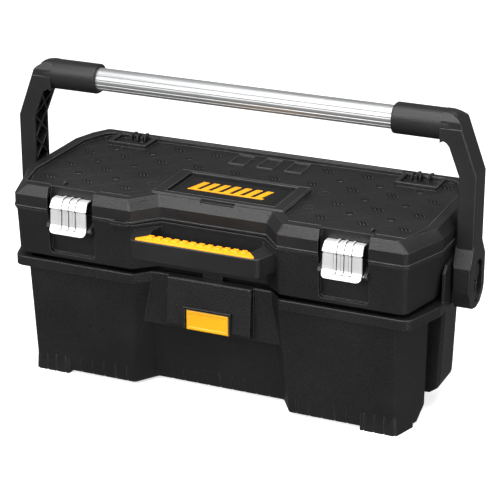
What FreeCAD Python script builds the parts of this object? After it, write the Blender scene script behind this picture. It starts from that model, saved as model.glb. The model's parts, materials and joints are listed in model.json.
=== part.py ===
import FreeCAD, Part
import math
import os

os.makedirs("parts", exist_ok=True)

# A tote bin with a removable upper case, a hinged lid and a tube carry handle.
# Frame: +X along the length, +Y from front to back, +Z up, origin on the floor at the middle.

# driving dimensions, millimetres
WALL = 3.0
BIN_FLOOR = 4.5
RIM_LOW = 158.0
RIM_TOP = 171.5
CASE_LOW = 178.0
CASE_TOP = 243.0
TUB_FLOOR = 130.0
LID_LOW = 244.0
LID_BAND = 262.0
LID_TOP = 276.0
FIELD_Z = 271.5
PLATE_Z = 273.0
FRAME_TOP = 277.5

TUBE_Y = 13.5
TUBE_Z = 393.4
TUBE_R = 15.5
TUBE_WALL = 2.0
TUBE_END = 292.0
COLLAR_R = 18.5
COLLAR_X = 213.0
FLUTES = 8

ARM_OUT = 330.0
ARM_IN = 306.0
ARM_FRONT = -7.5
ARM_BACK = 32.6
KNEE_Z = 334.5
PIVOT_Y = 16.0
PIVOT_Z = 187.0
PIN_R = 6.0
RUN_GAP = 0.06

EAR_IN = 299.6
EAR_OUT = 303.4

HINGE_Y = 144.3
HINGE_Z = 245.5
HINGE_R = 4.5
HINGE_PIN_R = 1.8
HINGE_X = (197.0, 248.0)

LATCH_X = (166.8, 222.1)
LATCH_PIN_Y = -118.0
LATCH_PIN_Z = 224.0
LATCH_PIN_R = 2.2

BUTTON_X = 30.8
BUTTON_Z = (102.3, 130.9)
BUTTON_FRONT = -105.2
POCKET_BACK = -86.0
STEM_END = -93.2
CASE_GAP = 0.4

TRAY_X = (-232.0, -4.0)
TRAY_Y = (-74.0, 122.0)
TRAY_Z = (156.0, 208.0)

# right halves of the plan outlines, front to back: x, y, corner radius
BIN_BOTTOM = [(93, -63, 6), (114, -95, 6), (264, -95, 7), (282.5, -37, 3), (258, -34, 4),
              (258, 44, 8), (232, 108, 8), (222, 118, 8)]
BIN_UPPER = [(83, -89, 6), (103, -110, 6), (264, -110, 7), (283.5, -37, 3), (278.5, -34, 4),
             (278.5, 46, 8), (250, 116, 8), (238, 136, 8)]
CAVITY_BOTTOM = [(91, -60, 4), (112, -92, 4), (262, -92, 5), (272, -62, 3), (255, -55, 4),
                 (255, 42, 6), (230, 106, 6), (220, 115, 6)]
RIM = [(85.6, -92, 5), (105.6, -113.5, 6), (282, -113.7, 16), (303.4, -53, 8),
       (303.4, 78, 8), (291, 108, 8), (268, 140, 8), (256, 146, 8)]
TUB = [(258, -78, 8), (267, -45, 8), (267, 44, 8), (243, 110, 8), (231, 127, 8)]
CASE_BOTTOM = [(79, -88, 6), (106, -112, 7), (277, -112.5, 14), (293, -46, 12),
               (293, 88, 10), (283, 120, 10), (267, 143, 10)]
CASE_UPPER = [(74, -88, 6), (101, -115, 7), (277, -115.5, 12), (300.5, -49, 10),
              (300.5, 88, 10), (290, 122, 10), (274, 147.5, 10)]
LID_SKIRT = [(76.6, -85, 6), (104, -117, 7), (278, -117, 9), (302, -47, 10),
             (302, 88, 10), (291.5, 122, 10), (275, 148, 10)]
LID_RIM = [(82, -77, 5), (109.7, -112, 6), (262.5, -112, 9), (294.5, -48.5, 9),
           (294.5, 87, 9), (285, 120.5, 9), (271, 146, 9)]


def vec(x, y, z):
    return FreeCAD.Vector(x, y, z)


def box(x0, x1, y0, y1, z0, z1):
    return Part.makeBox(x1 - x0, y1 - y0, z1 - z0, vec(x0, y0, z0))


def cyl_x(radius, x0, x1, y, z):
    return Part.makeCylinder(radius, x1 - x0, vec(x0, y, z), vec(1, 0, 0))


def cyl_y(radius, y0, y1, x, z):
    return Part.makeCylinder(radius, y1 - y0, vec(x, y0, z), vec(0, 1, 0))


def cyl_z(radius, z0, z1, x, y):
    return Part.makeCylinder(radius, z1 - z0, vec(x, y, z0), vec(0, 0, 1))


def both_sides(half):
    """A closed plan loop, counter-clockwise, from its right half."""
    return half + [(-x, y, r) for x, y, r in reversed(half)]


def inset(loop, gap):
    """The loop moved inwards by gap; a negative gap moves it outwards."""
    moved = []
    count = len(loop)
    for i in range(count):
        x0, y0, _ = loop[i - 1]
        x1, y1, radius = loop[i]
        x2, y2, _ = loop[(i + 1) % count]
        a = vec(x1 - x0, y1 - y0, 0).normalize()
        b = vec(x2 - x1, y2 - y1, 0).normalize()
        na = vec(-a.y, a.x, 0)
        nb = vec(-b.y, b.x, 0)
        miter = (na + nb) * (gap / (1 + na.dot(nb)))
        turn = a.x * b.y - a.y * b.x
        new_radius = radius - gap if turn > 0 else radius + gap
        moved.append((x1 + miter.x, y1 + miter.y, max(new_radius, 1.0)))
    return moved


def wire(loop, z):
    """A wire at height z with an arc at each corner of the loop."""
    count = len(loop)
    corners = []
    for i in range(count):
        x0, y0, _ = loop[i - 1]
        x1, y1, radius = loop[i]
        x2, y2, _ = loop[(i + 1) % count]
        here = vec(x1, y1, z)
        back = vec(x0 - x1, y0 - y1, 0).normalize()
        ahead = vec(x2 - x1, y2 - y1, 0).normalize()
        half = back.getAngle(ahead) / 2
        reach = radius / math.tan(half)
        middle = (back + ahead).normalize()
        centre = here + middle * (radius / math.sin(half))
        corners.append((here + back * reach, centre - middle * radius, here + ahead * reach))
    edges = []
    for i in range(count):
        start, mid, end = corners[i]
        edges.append(Part.Arc(start, mid, end).toShape())
        edges.append(Part.makeLine(end, corners[(i + 1) % count][0]))
    return Part.Wire(edges)


def loft(lower, z0, upper, z1):
    return Part.makeLoft([wire(lower, z0), wire(upper, z1)], True, True)


def prism(loop, z0, z1):
    return Part.Face(wire(loop, z0)).extrude(vec(0, 0, z1 - z0))


def prism_x(points, x0, x1):
    """A polygon of (y, z) points pushed along X."""
    ring = [vec(x0, y, z) for y, z in points]
    return Part.Face(Part.makePolygon(ring + ring[:1])).extrude(vec(x1 - x0, 0, 0))


def prism_y(points, y0, y1):
    """A polygon of (x, z) points pushed along Y."""
    ring = [vec(x, y0, z) for x, z in points]
    return Part.Face(Part.makePolygon(ring + ring[:1])).extrude(vec(0, y1 - y0, 0))


def mirrored(shape):
    other = shape.mirror(vec(0, 0, 0), vec(1, 0, 0))
    if not other.isValid():
        other.fix(0.001, 0.001, 0.001)
    return other


def pair(shape):
    return [shape, mirrored(shape)]


def soften(shape, radius, choose):
    """Round the edges that choose picks; one that can't be rounded stays sharp."""
    edges = [e for e in shape.Edges if choose(e.BoundBox)]
    try:
        done = shape.makeFillet(radius, edges)
        if done.isValid() and len(done.Solids) == 1:
            return done
    except Exception:
        pass
    print("left sharp:", len(edges), "edges near", shape.BoundBox.Center)
    return shape


def save(name, shape):
    refined = shape.removeSplitter()
    if refined.isValid():
        shape = refined
    solids = shape.Solids
    if len(solids) != 1 or not shape.isValid():
        print("CHECK", name, "solids", len(solids), "valid", shape.isValid())
    (solids[0] if len(solids) == 1 else shape).exportStep("parts/" + name + ".step")


# ---------------------------------------------------------------- lower bin
BIN_DRAFT = (110.0 - 95.0) / (RIM_LOW - BIN_FLOOR)
RECESS_DRAFT = (89.0 - 63.0) / (RIM_LOW - BIN_FLOOR)
RIDGE_TOP = BIN_FLOOR + 23.0
RIDGE_DEEP = 1.4
RIDGE_WIDE = 1.6
RIDGE_PITCH = 17.8
FOOT_TOP = 26.0
FOOT_PITCH = 14.0


def ridge_cut(x, face_y, draft, top):
    """A shallow upright groove that follows the drafted wall."""
    high = top - BIN_FLOOR
    points = [(face_y - 15, 0), (face_y + RIDGE_DEEP, 0), (face_y + RIDGE_DEEP, BIN_FLOOR),
              (face_y + RIDGE_DEEP - draft * high, top), (face_y - 15, top)]
    return prism_x(points, x - RIDGE_WIDE / 2, x + RIDGE_WIDE / 2)


def make_bin():
    body = loft(both_sides(BIN_BOTTOM), BIN_FLOOR, both_sides(BIN_UPPER), RIM_LOW)
    neck = prism(both_sides(BIN_UPPER), RIM_LOW, RIM_TOP - 1)
    rim = prism(both_sides(RIM), RIM_LOW, RIM_TOP)
    rim = soften(rim, 1.6, lambda b: b.ZMin > RIM_TOP - 0.1)
    rim = rim.cut(prism(inset(both_sides(RIM), WALL), RIM_LOW - 1, RIM_TOP - WALL))
    front_foot = loft([(214, -98.6, 2), (264.5, -98.6, 6), (276.8, -59, 4), (214, -59, 2)], 0,
                      [(214, -96.9, 2), (263.8, -96.9, 6), (275.0, -59, 4), (214, -59, 2)],
                      FOOT_TOP)
    back_foot = prism([(190, 95, 3), (239, 95, 3), (224, 113, 5), (190, 113, 3)], 0, BIN_FLOOR + 2)
    pillar = prism_y([(250, RIM_LOW + 6), (297, RIM_LOW + 6), (293, 47), (291, 37), (280, 29),
                      (250, 27)], -12, 46)
    pillar = soften(pillar, 5.0, lambda b: b.XMin > 290 and b.ZLength > 60)
    ear_side = [(-38, RIM_LOW), (68, RIM_LOW), (68, 213), (60, 221), (38, 224), (-7, 224),
                (-30, 220), (-38, 211)]
    ear = prism_x(ear_side, EAR_IN, EAR_OUT)
    ear = ear.fuse(cyl_x(16, EAR_OUT - 1, EAR_OUT + 2.6, PIVOT_Y, PIVOT_Z))
    ear = soften(ear, 1.4, lambda b: b.XMin > EAR_OUT - 0.1 and b.ZMax > RIM_TOP
                 and b.YMin < PIVOT_Y - 20)
    panel = prism_x([(-104.5, 104.6), (-99.5, RIM_TOP), (-84, RIM_TOP), (-70, 104.6)], -61, 61)
    panel = soften(panel, 2.5, lambda b: b.YMax < -98)
    shoulder = prism_x([(-93, 98), (-93, RIM_TOP - 1), (-84, RIM_TOP - 1), (-68, 98)], -98, 98)
    adds = [neck, rim, panel, shoulder]
    for part in (front_foot, back_foot, pillar, ear):
        adds += pair(part)
    body = body.fuse(adds)

    cavity = loft(both_sides(CAVITY_BOTTOM), BIN_FLOOR + WALL,
                  inset(both_sides(BIN_UPPER), WALL), RIM_LOW)
    mouth = prism(inset(both_sides(BIN_UPPER), WALL), RIM_LOW, RIM_TOP + 60)
    wedge = prism_x([(-58, -1), (-36.5, 28), (-20, 28), (-20, -1)], 259.5, 300)
    cuts = [cavity, mouth]
    cuts += pair(wedge)
    cuts += pair(cyl_x(PIN_R, EAR_IN - 1, EAR_OUT + 4, PIVOT_Y, PIVOT_Z))
    cuts += pair(prism_x([(-110, 97), (-93.5, 97), (-92, RIM_TOP + 1), (-110, RIM_TOP + 1)], 61, 64))
    # pocket behind the release button, and the slot for the case's catch above it
    cuts.append(box(-BUTTON_X - 0.8, BUTTON_X + 0.8, -112, POCKET_BACK,
                    BUTTON_Z[0] - 0.8, BUTTON_Z[1] + 0.8))
    cuts.append(box(-16, 16, -87.6, -80, 142, RIM_TOP + 1))
    for k in range(-4, 5):
        cuts.append(ridge_cut(k * RIDGE_PITCH, -63, RECESS_DRAFT, RIDGE_TOP))
    for k in range(5):
        cuts += pair(ridge_cut(125 + k * RIDGE_PITCH, -95, BIN_DRAFT, RIDGE_TOP))
    for k in range(4):
        cuts += pair(ridge_cut(220 + k * FOOT_PITCH, -97.6, 0.02, FOOT_TOP - 1))
    return body.cut(cuts)


def make_button():
    front = BUTTON_FRONT
    half = BUTTON_X
    cap = box(-half, half, front, front + 9, BUTTON_Z[0], BUTTON_Z[1])
    cap = soften(cap, 2.0, lambda b: b.YMax < front + 0.1)
    border = box(-half + 4, half - 4, front - 1, front + 0.8, BUTTON_Z[0] + 4.5, BUTTON_Z[1] - 4.5)
    middle_z = sum(BUTTON_Z) / 2
    stem = cyl_y(4, front + 8.5, STEM_END, 0, middle_z)
    return cap.cut(border).fuse(stem)


def make_bezel():
    front = -107.0
    low, high = BUTTON_Z
    outer = box(-BUTTON_X - 3.4, BUTTON_X + 3.4, front, -103.2, low + 2, high + 4.4)
    outer = soften(outer, 1.2, lambda b: b.YMax < front + 0.1 and b.ZMin > high)
    inner = box(-BUTTON_X - 0.8, BUTTON_X + 0.8, front - 1, -100, low - 2, high + 0.8)
    solid_front = prism_x([(-104.5, 104.6), (-99.5, RIM_TOP), (-90, RIM_TOP), (-90, 104.6)], -61, 61)
    return outer.cut([inner, solid_front])


def make_spring(radius, wire_r, y0, y1, z):
    helix = Part.makeHelix(3.2, y1 - y0, radius)
    start = vec(radius, 0, 0)
    ring = Part.Wire(Part.makeCircle(wire_r, start, vec(0, 1, 0)))
    coil = Part.Wire(helix.Edges).makePipeShell([ring], True, True)
    coil.rotate(vec(0, 0, 0), vec(1, 0, 0), -90)
    coil.translate(vec(0, y0, z))
    return coil


# ---------------------------------------------------------------- carry handle
def collar_form(x0, x1, grow):
    """The grip collar: a bar with wide flats at the front and a round back."""
    r = COLLAR_R + grow
    flats = [(-0.97, -0.50), (-0.62, -0.97), (0.50, -0.97), (0.97, -0.45), (0.97, 0.45),
             (0.50, 0.97), (-0.62, 0.97), (-0.97, 0.50)]
    bar = prism_x([(TUBE_Y + r * y, TUBE_Z + r * z) for y, z in flats], x0, x1)
    return soften(bar, 5.0, lambda b: b.XLength > 20)


def make_arm():
    side = [(ARM_FRONT, 420), (ARM_BACK, 420), (ARM_BACK, 236), (48.5, 212), (48.5, 176),
            (42, 162), (30, 152), (14, 149.5), (-2, 153), (-12, 163), (-16.5, 178),
            (-16.5, 212), (ARM_FRONT, 236)]
    front = [(ARM_IN, 146), (ARM_OUT, 146), (ARM_OUT, KNEE_Z), (305.5, 401), (302, 405.5),
             (295, 409.8), (286, 412.6), (279, 412.6), (279, 374.0), (284, 376.6), (288, 374.6),
             (292, 370), (ARM_IN, 334)]
    arm = prism_x(side, 269, 332).common(prism_y(front, -30, 60))
    top_rounding = box(270, 335, ARM_FRONT - 10, ARM_BACK + 10, TUBE_Z, TUBE_Z + 40)
    top_form = collar_form(269, 345, 1.4)
    arm = arm.cut(top_rounding.cut(top_form))
    arm = soften(arm, 2.6, lambda b: b.XMin > ARM_OUT - 26 and b.XMax < 331
                 and b.ZLength > 20 and b.YLength < 0.1 and b.XMin > 304)
    collar = collar_form(COLLAR_X, 283, 0.0)
    collar = soften(collar, 1.6, lambda b: b.XMax < COLLAR_X + 0.1)
    arm = arm.fuse(collar)
    channel = prism_y([(ARM_IN - 5, 240), (ARM_OUT - 5, 240), (ARM_OUT - 5, KNEE_Z - 1),
                       (310, 371), (280, 371), (ARM_IN - 5, 332)],
                      ARM_FRONT + 4.5, ARM_BACK - 4.5)
    ribs = []
    rise = ARM_BACK - ARM_FRONT - 9
    for k in range(4):
        z = 240 + k * 31.5
        for low, high in ((z, z + rise), (z + rise, z)):
            ribs.append(prism_x([(ARM_FRONT + 4, low - 1.6), (ARM_BACK - 4, high - 1.6),
                                 (ARM_BACK - 4, high + 1.6), (ARM_FRONT + 4, low + 1.6)],
                                ARM_IN - 16, ARM_OUT))
    lattice = ribs[0].fuse(ribs[1:])
    channel = channel.cut(lattice)
    oval_mid = [(y, z) for y, z in oval(PIVOT_Y + 3, 185, 17, 30)]
    recess = prism_x(oval_mid, ARM_OUT - 8, ARM_OUT + 2)
    web = prism_x([(12, 154), (15.5, 154), (24, 190), (20, 190)], ARM_OUT - 8, ARM_OUT - 2.5)
    bore = cyl_x(PIN_R + RUN_GAP, ARM_IN - 2, ARM_OUT, PIVOT_Y, PIVOT_Z)
    socket = cyl_x(TUBE_R, COLLAR_X - 2, TUBE_END, TUBE_Y, TUBE_Z)
    return arm.cut([channel, recess.cut(web), bore, socket, make_cap(), make_tube_screw(232)])


def oval(y, z, half_wide, half_high, steps=28):
    """Points of an oval whose ends are half circles."""
    points = []
    for k in range(steps):
        angle = 2 * math.pi * k / steps
        straight = half_high - half_wide
        lift = straight if math.sin(angle) > 0 else -straight
        points.append((y + half_wide * math.cos(angle), z + half_wide * math.sin(angle) + lift))
    return points


def make_cap():
    disc = cyl_x(11.5, ARM_OUT - 7.6, ARM_OUT - 2.4, PIVOT_Y + 3.5, 197.5)
    disc = soften(disc, 1.2, lambda b: b.XMin > ARM_OUT - 2.5)
    return disc


def make_pin():
    shank = cyl_x(PIN_R, EAR_IN + 0.2, ARM_OUT - 8.4, PIVOT_Y, PIVOT_Z)
    return shank.cut(cyl_x(2.5, ARM_OUT - 12, ARM_OUT - 8, PIVOT_Y, PIVOT_Z))


def make_tube():
    tube = cyl_x(TUBE_R, -TUBE_END, TUBE_END, TUBE_Y, TUBE_Z)
    hollow = cyl_x(TUBE_R - TUBE_WALL, -TUBE_END - 1, TUBE_END + 1, TUBE_Y, TUBE_Z)
    cuts = [hollow]
    for k in range(FLUTES):
        angle = math.radians(150 + k * 21)
        y = TUBE_Y + (TUBE_R + 0.7) * math.cos(angle)
        z = TUBE_Z + (TUBE_R + 0.7) * math.sin(angle)
        cuts.append(cyl_x(1.5, -COLLAR_X + 0.5, COLLAR_X - 0.5, y, z))
    for x in (-232, 232):
        cuts.append(cyl_z(2.0, TUBE_Z - 18, TUBE_Z - 8, x, TUBE_Y))
    return tube.cut(cuts)


def make_tube_screw(x):
    head = cyl_z(3.8, TUBE_Z - COLLAR_R - 1.6, TUBE_Z - COLLAR_R + 0.4, x, TUBE_Y)
    shank = cyl_z(2.0, TUBE_Z - COLLAR_R, TUBE_Z - 8.5, x, TUBE_Y)
    cross = box(x - 2.2, x + 2.2, TUBE_Y - 0.4, TUBE_Y + 0.4,
                TUBE_Z - COLLAR_R - 2, TUBE_Z - COLLAR_R - 1)
    return head.fuse(shank).cut(cross)


# ---------------------------------------------------------------- upper case
def finger_ledge():
    outer = [(88, -84, 2), (101, -110, 2), (101, -116, 4), (90, -147.6, 9),
             (-90, -147.6, 9), (-101, -116, 4), (-101, -110, 2), (-88, -84, 2)]
    outer = list(reversed(outer))
    ledge = prism(outer, 209, 236)
    ledge = soften(ledge, 1.6, lambda b: b.ZLength < 0.1)
    gap = prism([(-72, -127.5, 5), (72, -127.5, 5), (78, -104, 4), (73.5, -88, 2),
                 (-73.5, -88, 2), (-78, -104, 4)], 200, 245)
    under = box(-82, 82, -144, -131, 205, 231)
    seat = prism(grip_loop(0.0), 234.2, 245)
    return ledge.cut([gap, under, seat])


def grip_loop(gap):
    return inset([(-87.5, -146.3, 3), (87.5, -146.3, 3), (72, -128.9, 2), (-72, -128.9, 2)], gap)


def latch_pocket(z0, z1, y_back):
    pocket = box(160, 228, -135, y_back, z0, z1)
    return soften(pocket, 6.0, lambda b: b.YLength > 10 and b.ZMax < z0 + 0.1)


def make_case():
    shell = loft(both_sides(CASE_BOTTOM), CASE_LOW, both_sides(CASE_UPPER), CASE_TOP)
    shell = soften(shell, 1.5, lambda b: b.ZMax < CASE_LOW + 0.1)
    flange = prism(inset(both_sides(CASE_UPPER), -1.3), CASE_TOP - 2.8, CASE_TOP)
    tub = loft(inset(both_sides(TUB), 8), TUB_FLOOR, inset(both_sides(TUB), 0), CASE_LOW + 1)
    shell = shell.fuse([flange, tub, finger_ledge()])
    inner = loft(inset(both_sides(CASE_BOTTOM), WALL), CASE_LOW + WALL,
                 inset(both_sides(CASE_UPPER), WALL), CASE_TOP + 0.01)
    hollow_tub = loft(inset(both_sides(TUB), 8 + WALL), TUB_FLOOR + WALL,
                      inset(both_sides(TUB), WALL), CASE_LOW + WALL + 0.5)
    shell = shell.cut([inner, hollow_tub])
    pockets = pair(latch_pocket(CASE_LOW + 6, CASE_TOP + 5, -104.5))
    shell = shell.cut(pockets)
    backs = pair(box(156, 232, -107.5, -101.5, CASE_LOW + 1, CASE_TOP))
    shell = shell.fuse([b.cut(pockets) for b in backs])
    lugs = []
    for x0, x1 in ((161.5, 165.5), (223.5, 227.5)):
        lug = prism_x([(-103, 214), (-103, 236), (-119.5, 228.5), (-121.5, 224), (-119.5, 220)],
                      x0, x1)
        lugs += pair(lug)
    knuckles = []
    for x0, x1 in ((HINGE_X[0], 207.0), (238.0, HINGE_X[1])):
        knuckles += pair(cyl_x(HINGE_R, x0, x1, HINGE_Y, HINGE_Z).fuse(
            box(x0, x1, HINGE_Y - 2.5, HINGE_Y + 3.4, CASE_TOP - 16, HINGE_Z - 1)))
    pads = pair(box(283, 289, -20, 50, RIM_TOP + CASE_GAP, CASE_LOW + 1))
    pads += pair(box(100, 160, 138, 141.5, RIM_TOP + CASE_GAP, CASE_LOW + 1))
    lock_tab = prism([(-137, -112, 2), (-132, -121, 3), (-108, -121, 3), (-103, -112, 2)],
                     CASE_TOP - 2.8, CASE_TOP)
    shell = shell.fuse(lugs + knuckles + pads + [lock_tab])
    cuts = [prism(oval_loop(-120, -117.3, 8, 1.9), CASE_TOP - 8, CASE_TOP + 1)]
    for side in (-1, 1):
        x0, x1 = sorted((side * 161, side * 228))
        cuts.append(cyl_x(LATCH_PIN_R, x0, x1, LATCH_PIN_Y, LATCH_PIN_Z))
        x0, x1 = sorted((side * HINGE_X[0], side * HINGE_X[1]))
        cuts.append(cyl_x(HINGE_PIN_R, x0 - 1, x1 + 1, HINGE_Y, HINGE_Z))
    cuts += pair(box(207.3, 237.7, HINGE_Y - 6, HINGE_Y + 8, CASE_TOP - 4, CASE_TOP + 6))
    return shell.cut(cuts)


def oval_loop(x, y, half_long, half_wide):
    edge = half_long
    return [(x - edge, y - half_wide, half_wide * 0.9), (x + edge, y - half_wide, half_wide * 0.9),
            (x + edge, y + half_wide, half_wide * 0.9), (x - edge, y + half_wide, half_wide * 0.9)]


def make_grip():
    pad = prism(grip_loop(0.0), 234.2, 237.8)
    pad = soften(pad, 1.0, lambda b: b.ZMin > 237.7)
    bumps = []
    for k in range(12):
        x = -66 + k * 12
        bump = box(x - 3.6, x + 3.6, -138.5, -129.6, 237.0, 239.6)
        bumps.append(soften(bump, 0.9, lambda b: b.ZMin > 239.5))
    return pad.fuse(bumps)


def make_catch():
    plate = box(-14, 14, -86.4, -84.4, 146, CASE_LOW)
    window = box(-7, 7, -88, -82, 152, 160)
    return plate.cut(window)


def make_hinge_pin(side):
    x0, x1 = sorted((side * (HINGE_X[0] + 0.5), side * (HINGE_X[1] - 0.5)))
    return cyl_x(HINGE_PIN_R, x0, x1, HINGE_Y, HINGE_Z)


def make_latch_pin():
    return cyl_x(LATCH_PIN_R, 161.8, 227.2, LATCH_PIN_Y, LATCH_PIN_Z)


def make_latch():
    """A pressed plate round a pin, bent over at the top and flared out at the bottom."""
    x0, x1 = LATCH_X
    outer = [(-104.2, 263.4), (-116.6, 263.4), (-119.4, 260.6), (-122.4, 232), (-122.0, 223),
             (-127.0, 217.4)]
    inner = [(-126.0, 216.4), (-120.4, 222.6), (-120.9, 232), (-117.9, 260.0), (-116.0, 262.0),
             (-104.2, 262.0)]
    plate = prism_x(outer + inner, x0, x1)
    corners = []
    for x, step in ((x0, 1), (x1, -1)):
        corners.append(prism_y([(x - step, 215.0), (x + 7 * step, 215.0), (x + 3 * step, 218.5),
                                (x, 223.0), (x - step, 223.0)], -130, -119))
    plate = plate.cut(corners)
    knuckle = cyl_x(LATCH_PIN_R + 0.08 + 1.3, x0 + 1, x1 - 1, LATCH_PIN_Y, LATCH_PIN_Z)
    web = box(x0 + 1, x1 - 1, -121.4, LATCH_PIN_Y, LATCH_PIN_Z - 1.5, LATCH_PIN_Z + 3.4)
    beads = []
    for share in (0.33, 0.51, 0.70):
        x = x0 + share * (x1 - x0)
        bead = prism_x([(-118.6, 256), (-120.6, 255), (-122.9, 236), (-121.4, 234)],
                       x - 2.2, x + 2.2)
        beads.append(bead)
    bands = [prism_x([(-118.0, 262.6), (-120.2, 260.0), (-120.9, 254), (-119.4, 253)], x0, x1)]
    latch = plate.fuse([knuckle, web] + beads + bands)
    return latch.cut(cyl_x(LATCH_PIN_R + 0.08, x0 - 1, x1 + 1, LATCH_PIN_Y, LATCH_PIN_Z))


def make_keeper():
    x0, x1 = LATCH_X
    bar = prism_x([(-103.4, 250), (-103.4, 261.2), (-113.0, 261.2), (-114.5, 259.6),
                   (-112.0, 256.5), (-107.0, 255.0)], x0 + 5, x1 - 5)
    return bar


# ---------------------------------------------------------------- lid
SLASH_X = 28.25
SLASH_Y = (111.0, 54.0, -3.0, -59.0)
PAD_X = (113.0, 169.5, 226.0)
PAD_Y = (82.0, 25.0, -31.0)


def in_field(x, y):
    """True where the tread pattern has room between the rim and the raised frames."""
    near_name = abs(x) < 112 and y < 42
    near_icons = abs(x) < 66 and y > 72
    near_hinge = 178 < abs(x) < 256 and y > 88
    near_corner = abs(x) > 268 or (abs(x) > 250 and abs(y) > 100)
    return not (near_name or near_icons or near_hinge or near_corner)


def tread():
    """Raised triple bars and low pads in a diamond order."""
    pieces = []
    for k in range(-9, 10, 2):
        for y in SLASH_Y:
            x = k * SLASH_X
            if not in_field(x, y):
                continue
            for shift in (-7, 0, 7):
                bar = box(-1.7, 1.7, -8, 8, FIELD_Z - 0.2, FIELD_Z + 1.0)
                bar.rotate(vec(0, 0, 0), vec(0, 0, 1), 24)
                bar.translate(vec(x + shift, y, 0))
                pieces.append(bar)
    for x in PAD_X:
        for y in PAD_Y:
            for side in (-1, 1):
                if in_field(side * x, y):
                    pad = Part.makeCone(8.5, 5.5, 1.1, vec(side * x, y, FIELD_Z - 0.1))
                    pieces.append(pad)
    return pieces


def frame_ring(outer, width, z0, z1):
    return prism(outer, z0, z1).cut(prism(inset(outer, width), z0 - 1, z1 + 1))


def make_lid():
    skirt = both_sides(LID_SKIRT)
    top = both_sides(LID_RIM)
    lid = prism(skirt, LID_LOW, LID_BAND).fuse(loft(skirt, LID_BAND, top, LID_TOP))
    lid = lid.removeSplitter()
    lid = soften(lid, 1.5, lambda b: b.ZMin > LID_TOP - 0.1)
    flange = prism(inset(skirt, -1.1), LID_LOW, LID_LOW + 2.6)
    name_frame = prism([(-95, -74, 3), (95, -74, 3), (95, 23, 4), (-95, 23, 4)], 266, FRAME_TOP)
    name_frame = soften(name_frame, 1.4, lambda b: b.ZMin > FRAME_TOP - 0.1)
    lid = lid.fuse([flange, name_frame])
    inner = prism(inset(skirt, WALL), LID_LOW - 1, LID_BAND - 2)
    inner_top = loft(inset(skirt, WALL), LID_BAND - 2, inset(top, WALL + 1), FIELD_Z - WALL)
    hollow = inner.fuse(inner_top).removeSplitter()
    field = [(113, -98, 3), (269, -98, 6), (281, -49, 8), (279, 88, 8), (265, 122, 8), (259, 131, 8)]
    half = field + [(-x, y, r) for x, y, r in reversed(field)]
    notch = [(-95.4, -73, 2), (-95.4, 23.4, 3), (95.4, 23.4, 3), (95.4, -73, 2)]
    field_cut = prism(half + notch, FIELD_Z, FRAME_TOP + 2)
    plate_cut = prism([(-78, -62.6, 2), (78, -62.6, 2), (78, 15.4, 2), (-78, 15.4, 2)],
                      PLATE_Z, FRAME_TOP + 2)
    lid = lid.cut([hollow, field_cut, plate_cut])
    hinge_frames = []
    for side in (-1, 1):
        x0, x1 = sorted((side * 186, side * 246))
        outer = [(x0, 92, 3), (x1, 92, 3), (x1, 134, 3), (x0, 134, 3)]
        hinge_frames.append(frame_ring(outer, 5, FIELD_Z - 1, LID_TOP + 0.8))
        for x in (side * 206, side * 224):
            hinge_frames.append(box(x - 2, x + 2, 120, 141, FIELD_Z - 1, LID_TOP + 3))
    icons = [frame_ring([(x - 12.5, 83, 2), (x + 12.5, 83, 2), (x + 12.5, 123, 2),
                         (x - 12.5, 123, 2)], 1.6, FIELD_Z - 0.5, FIELD_Z + 1.6)
             for x in (-42, 0, 42)]
    lid = lid.fuse(hinge_frames + icons + tread())
    cuts = pair(box(160, 228, -135, -103.4, LID_LOW - 1, LID_TOP + 5))
    cuts += pair(box(HINGE_X[0] - 1.5, HINGE_X[1] + 1.5, HINGE_Y - 6.5, 152, LID_LOW - 1, 253))
    cuts.append(box(-180, 180, 138, 152, LID_LOW - 1, 247.5))
    cuts += pair(box(249, 300, 134, 152, LID_LOW - 1, 247.5))
    cuts += pair(box(179, 199, 138, 152, LID_LOW - 1, 247.5))
    cuts.append(box(-22, 27, -80.5, -73, LID_TOP - 3, LID_TOP + 3))
    for side in (-1, 1):
        cuts.append(prism_y([(side * 216, LID_TOP - 2), (side * 223, LID_TOP - 2),
                             (side * 223, LID_TOP + 2), (side * 216, LID_TOP + 2)], -97, -84))
    lid = lid.cut(cuts)
    pocket_back = pair(box(158.5, 229.5, -106.4, -100.4, LID_LOW + 1, LID_TOP - 1.5))
    pocket_clear = pair(box(160, 228, -140, -103.4, LID_LOW - 2, LID_TOP + 5))
    adds = [b.cut(pocket_clear) for b in pocket_back]
    for side in (-1, 1):
        x0, x1 = sorted((side * 207.6, side * 237.4))
        adds.append(cyl_x(HINGE_R, x0, x1, HINGE_Y, HINGE_Z).fuse(
            box(x0, x1, HINGE_Y - 1.0, HINGE_Y + 3.4, HINGE_Z + 2, 254)))
    adds.append(prism([(-137, -113, 2), (-132, -121, 3), (-108, -121, 3), (-103, -113, 2)],
                      LID_LOW, LID_LOW + 2.6))
    lid = lid.fuse(adds)
    cuts = [prism(oval_loop(-120, -117.3, 8, 1.9), LID_LOW - 2, LID_LOW + 3)]
    for side in (-1, 1):
        x0, x1 = sorted((side * 200, side * 246))
        cuts.append(cyl_x(HINGE_PIN_R + 0.07, x0, x1, HINGE_Y, HINGE_Z))
    return lid.cut(cuts)


def make_nameplate():
    plate = prism([(-77.6, -62.2, 2), (77.6, -62.2, 2), (77.6, 15.0, 2), (-77.6, 15.0, 2)],
                  PLATE_Z, PLATE_Z + 2)
    line = frame_ring([(-70, -55, 2), (70, -55, 2), (70, 8, 2), (-70, 8, 2)], 1.0,
                      PLATE_Z + 1.7, PLATE_Z + 3)
    return plate.cut(line)


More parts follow.
